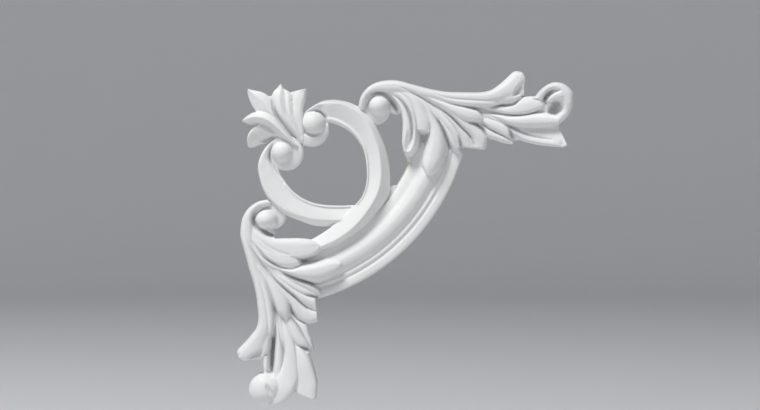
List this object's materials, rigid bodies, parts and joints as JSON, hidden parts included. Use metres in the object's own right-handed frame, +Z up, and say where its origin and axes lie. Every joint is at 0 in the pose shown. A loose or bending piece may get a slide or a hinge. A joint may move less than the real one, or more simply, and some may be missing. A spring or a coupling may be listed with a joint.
{
  "type": "corner ornament",
  "caption": "White rigid foam corner ornament in carved relief: two leafy scroll arms, a quarter moulding, a ring of crossing scrolls and a palmette.",
  "frame": {"origin": "on the flat back of the quarter moulding, on the corner's diagonal", "axes": "+Y out of the flat back into the wall or panel behind, -Y out of the carved front, +X along the upper arm away from the corner, +Z up"},
  "size_m": [0.19, 0.0187, 0.1899],
  "materials": {
    "white_foam": "matt white primer on rigid polyurethane foam"
  },
  "bodies": {
    "root": {"corner_ornament": "white_foam"}
  },
  "joints": []
}
